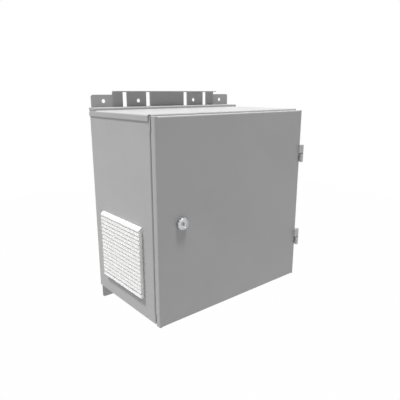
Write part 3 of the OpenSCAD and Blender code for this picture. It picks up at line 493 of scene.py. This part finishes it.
left, right = ring_low.x + half_w, ring_high.x - half_w
foot, top = ring_low.z + half_w, ring_high.z - half_w
shape = bmesh.new()
start = [shape.verts.new((left + corner, ring_low.y + y, foot - out)) for out, y in section]
loop = [shape.edges.new((start[i], start[(i + 1) % len(start)])) for i in range(len(start))]
runs = (
    ((right - left - 2 * corner, 0, 0), (right - corner, foot + corner)),
    ((0, 0, top - foot - 2 * corner), (right - corner, top - corner)),
    ((left - right + 2 * corner, 0, 0), (left + corner, top - corner)),
    ((0, 0, foot - top + 2 * corner), (left + corner, foot + corner)),
)
for run, (turn_x, turn_z) in runs:
    drawn = bmesh.ops.extrude_edge_only(shape, edges=loop)["geom"]
    bmesh.ops.translate(shape, verts=only(bmesh.types.BMVert, drawn), vec=run)
    loop = only(bmesh.types.BMEdge, drawn)
    spun = bmesh.ops.spin(shape, geom=loop, cent=(turn_x, 0, turn_z), axis=(0, -1, 0),
                          angle=math.pi / 2, steps=CORNER_STEPS)["geom_last"]
    loop = only(bmesh.types.BMEdge, spun)
bmesh.ops.remove_doubles(shape, verts=shape.verts, dist=WELD_MM * MM)
bmesh.ops.recalc_face_normals(shape, faces=shape.faces)
gasket = add_piece("foam_door_gasket", shape, foam, "door")
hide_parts("door_gasket")
print("Gasket:", len(gasket.data.polygons), "faces")

# %% [markdown]
# ## Screws with a hexagon socket
#
# The CAD screws are plain heads. A real one has a recess for its key, so each screw is spun from its
# profile, and the open ring in its head is drawn into a hexagon and sunk. The places, lengths and
# head sizes are read from the CAD screws, so a changed model still gets screws that fit.


# %% Find the CAD screws
def solids_of(node):
    """The separate solids of a CAD node, each as a list of points in the row frame."""
    shape = bmesh.new()
    shape.from_mesh(node.data)
    shape.transform(node.matrix_world)
    bmesh.ops.remove_doubles(shape, verts=shape.verts, dist=WELD_MM * MM)
    waiting, solids = set(shape.verts), []
    while waiting:
        reached, points = [waiting.pop()], []
        while reached:
            vert = reached.pop()
            points.append(vert.co.copy())
            near = {edge.other_vert(vert) for edge in vert.link_edges} & waiting
            waiting -= near
            reached.extend(near)
        solids.append(points)
    shape.free()
    return solids


print("Bracket screws found:", len(solids_of(nodes["bracket_screws"])))

# %% Make the socket screws
SCREW_STEPS = 36
HEAD_TO_THREAD = 1.9
HEAD_EDGE = 0.12
SOCKET_WIDE = 0.5
SOCKET_DEEP = 0.55
SINK_DEPTH_MM = 3.0
RIM_SHARE = 0.9
HEXAGON_SHARE = 0.85
HEXAGON_SIDE = math.pi / 3


def add_socket_screw(shape, points, axis, countersunk):
    """Spin one screw along axis (0, 1 or 2) in the box of a CAD screw, with a socket in its head."""
    low = Vector([min(p[i] for p in points) for i in range(3)])
    high = Vector([max(p[i] for p in points) for i in range(3)])
    middle, across = (low + high) / 2, (axis + 1) % 3
    head_r, length = (high[across] - low[across]) / 2, high[axis] - low[axis]
    wide = [p[axis] for p in points if abs(p[across] - middle[across]) > RIM_SHARE * head_r]
    side = 1 if sum(wide) / len(wide) > middle[axis] else -1
    out, arm = Vector((0, 0, 0)), Vector((0, 0, 0))
    out[axis], arm[across] = side, 1
    face = middle + out * length / 2
    socket_r, edge = SOCKET_WIDE * head_r, HEAD_EDGE * head_r
    if countersunk:
        thread_r = head_r - SINK_DEPTH_MM * MM
        profile = [(socket_r, 0), (head_r, 0), (thread_r, SINK_DEPTH_MM * MM)]
    else:
        thread_r = head_r / HEAD_TO_THREAD
        back = max(abs(a - face[axis]) for a in wide)
        profile = [(socket_r, 0), (head_r - edge, 0), (head_r, edge), (head_r, back), (thread_r, back)]
    profile += [(thread_r, length), (0, length)]
    verts = [shape.verts.new(face + arm * r - out * deep) for r, deep in profile]
    edges = [shape.edges.new(pair) for pair in zip(verts, verts[1:])]
    bmesh.ops.spin(shape, geom=verts + edges, cent=face, axis=out, angle=2 * math.pi,
                   steps=SCREW_STEPS, use_merge=True)
    ring = [e for e in shape.edges if e.is_boundary and all(
        abs((v.co - face).length - socket_r) < WELD_MM * MM for v in e.verts)]
    for deep in (0, SOCKET_DEEP * head_r):
        drawn = bmesh.ops.extrude_edge_only(shape, edges=ring)["geom"]
        for vert in only(bmesh.types.BMVert, drawn):
            from_axis = vert.co - face
            from_axis -= out * from_axis.dot(out)
            if deep == 0:
                turned = from_axis.angle(arm) % HEXAGON_SIDE - HEXAGON_SIDE / 2
                flat_r = HEXAGON_SHARE * socket_r
                vert.co = face + from_axis.normalized() * flat_r / math.cos(turned)
            else:
                vert.co -= out * deep
        ring = only(bmesh.types.BMEdge, drawn)
    bmesh.ops.edgeloop_fill(shape, edges=ring)


# Each group of screws: the axis it points along, whether it is countersunk, and its body.
SCREWS = {
    "hinge_leaf_screws": (0, False, "cabinet"),
    "bracket_screws": (1, True, "cabinet"),
    "rail_screws": (0, False, "cabinet"),
    "gland_plate_screws": (2, False, "cabinet"),
    "hinge_pad_screws": (1, False, "door"),
}
for name, (axis, countersunk, body) in SCREWS.items():
    shape = bmesh.new()
    solids = solids_of(nodes[name])
    for points in solids:
        add_socket_screw(shape, points, axis, countersunk)
    bmesh.ops.remove_doubles(shape, verts=shape.verts, dist=WELD_MM * MM)
    bmesh.ops.recalc_face_normals(shape, faces=shape.faces)
    screws = add_piece("socket_" + name, shape, zinc, body)
    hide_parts(name)
    print(name, "as", len(solids), "socket screws,", len(screws.data.polygons), "faces")

# %% [markdown]
# ## Corner tabs
#
# The body's sides are relieved at their corners so that the sheet can be folded, and the door's
# edges stop short there too. A bare relief would show as a black hole beside the door. On such
# cabinets a small folded tab is welded in behind it. Each tab is a square strip with its outer edge
# rounded, and the same tab serves all four corners, mirrored.

# %% Weld in the corner tabs
TAB_T_MM = 1.6
TAB_DEEP_MM = 6.8
TAB_WIDE_MM = 16
TAB_FOLD_MM = 3
TAB_FOLD_STEPS = 4
TAB_FRONT_MM = -379.0
TAB_SPANS_MM = ((-324.0, -290.4), (282.4, 326.0))

side_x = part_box("body_wrap")[1].x / MM
shape = bmesh.new()
for hand in (-1, 1):
    for z_low, z_high in TAB_SPANS_MM:
        outline = (
            (side_x, TAB_FRONT_MM), (side_x, TAB_FRONT_MM + TAB_DEEP_MM),
            (side_x - TAB_T_MM, TAB_FRONT_MM + TAB_DEEP_MM),
            (side_x - TAB_T_MM, TAB_FRONT_MM + TAB_T_MM),
            (side_x - TAB_WIDE_MM, TAB_FRONT_MM + TAB_T_MM), (side_x - TAB_WIDE_MM, TAB_FRONT_MM),
        )
        corner_points = [(hand * x * MM, y * MM, z_low * MM) for x, y in outline]
        draw_out(shape, corner_points, (0, 0, (z_high - z_low) * MM))
outer = [e for e in shape.edges if all(
    abs(abs(v.co.x) / MM - side_x) < WELD_MM and abs(v.co.y / MM - TAB_FRONT_MM) < WELD_MM
    for v in e.verts)]
bmesh.ops.bevel(shape, geom=outer, offset=TAB_FOLD_MM * MM, affect="EDGES",
                segments=TAB_FOLD_STEPS, profile=0.5, material=-1)
bmesh.ops.recalc_face_normals(shape, faces=shape.faces)
add_piece("corner_tabs", shape, light_grey_coat, "cabinet")
print("Corner tabs:", len(outer), "folds")

# %% [markdown]
# ## Floor, background and light
#
# The photograph has a plain white ground. The floor lies well below, because the cabinet hangs on
# a wall. It and the world are plain white to the camera and to reflections, and keep their own
# plain level for the light that they throw on the cabinet.

# %% Lay the floor
FLOOR_DROP_MM = 1200
FLOOR_SIZE_M = 14.0
FLOOR_WHITE = 0.96
FLOOR_TONE = "#bdbdbd"


def seen_directly(tree):
    """1 for rays from the camera, a mirror or glass, else 0."""
    path = add_node(tree, "ShaderNodeLightPath").outputs
    plain = add_node(tree, "ShaderNodeMath", {0: path["Is Camera Ray"], 1: path["Is Glossy Ray"]},
                     operation="MAXIMUM")
    seen = add_node(tree, "ShaderNodeMath", {0: plain.outputs["Value"], 1: path["Is Transmission Ray"]},
                    operation="MAXIMUM")
    return seen.outputs["Value"]


floor_mesh = bpy.data.meshes.new("pale_floor")
shape = bmesh.new()
bmesh.ops.create_grid(shape, x_segments=1, y_segments=1, size=FLOOR_SIZE_M / 2)
bmesh.ops.translate(shape, verts=shape.verts, vec=(0, 0, cad_low.z - FLOOR_DROP_MM * MM))
shape.to_mesh(floor_mesh)
shape.free()
floor = bpy.data.objects.new("pale_floor", floor_mesh)
bpy.context.scene.collection.objects.link(floor)
floor_finish = bpy.data.materials.new("pale_studio_floor")
floor_finish.use_nodes = True
tree = floor_finish.node_tree
tree.nodes.clear()
share = add_node(tree, "ShaderNodeMath", {0: seen_directly(tree), 1: FLOOR_WHITE},
                 operation="MULTIPLY")
paper = add_node(tree, "ShaderNodeBsdfDiffuse", {"Color": linear(FLOOR_TONE)})
white = add_node(tree, "ShaderNodeEmission", {"Strength": 1.0})
mixed = add_node(tree, "ShaderNodeMixShader",
                 {0: share.outputs["Value"], 1: paper.outputs["BSDF"], 2: white.outputs["Emission"]})
add_node(tree, "ShaderNodeOutputMaterial", {"Surface": mixed.outputs["Shader"]})
floor_mesh.materials.append(floor_finish)
print("Floor at", round(floor_mesh.vertices[0].co.z, 3), "m")

# %% Set the background
AMBIENT = 0.21

world = bpy.data.worlds.new("white_studio")
bpy.context.scene.world = world
world.use_nodes = True
tree = world.node_tree
tree.nodes.clear()
level = add_node(tree, "ShaderNodeMapRange",
                 {"Value": seen_directly(tree), "To Min": AMBIENT, "To Max": 1.0})
sky = add_node(tree, "ShaderNodeBackground",
               {"Color": (1, 1, 1, 1), "Strength": level.outputs["Result"]})
add_node(tree, "ShaderNodeOutputWorld", {"Surface": sky.outputs["Background"]})
print("Background light at", AMBIENT, "of white")

# %% [markdown]
# ## Lamps
#
# In the photograph the roof is the brightest face and the door the darkest, the knob throws a long
# soft shadow straight down, and the grille throws one down and forwards. So one lamp stands high in
# front and one high behind on the left. Sun lamps light every place alike, whatever its distance,
# and a sun of strength pi lights a white sheet that faces it to exactly white.

# %% Hang the lamps
# Each lamp: the direction towards it, its level on a sheet that faces it, and its width in degrees.
LAMPS = {
    "high_front_lamp": ((0.0, -1.0, 4.0), 0.58, 12),
    "high_left_lamp": ((-1.0, 0.8, 2.3), 1.00, 10),
}
for name, (towards, level, soft_deg) in LAMPS.items():
    lamp = bpy.data.lights.new(name, "SUN")
    lamp.energy = level * math.pi
    lamp.angle = math.radians(soft_deg)
    holder = bpy.data.objects.new(name, lamp)
    holder.rotation_euler = Vector(towards).to_track_quat("Z", "Y").to_euler()
    bpy.context.scene.collection.objects.link(holder)
    print(name, "level", level)

# %% [markdown]
# ## Colours at the end
#
# The Standard view shows a colour about as it is written; other views bend the tones.

# %% Set the view
bpy.context.scene.view_settings.view_transform = "Standard"
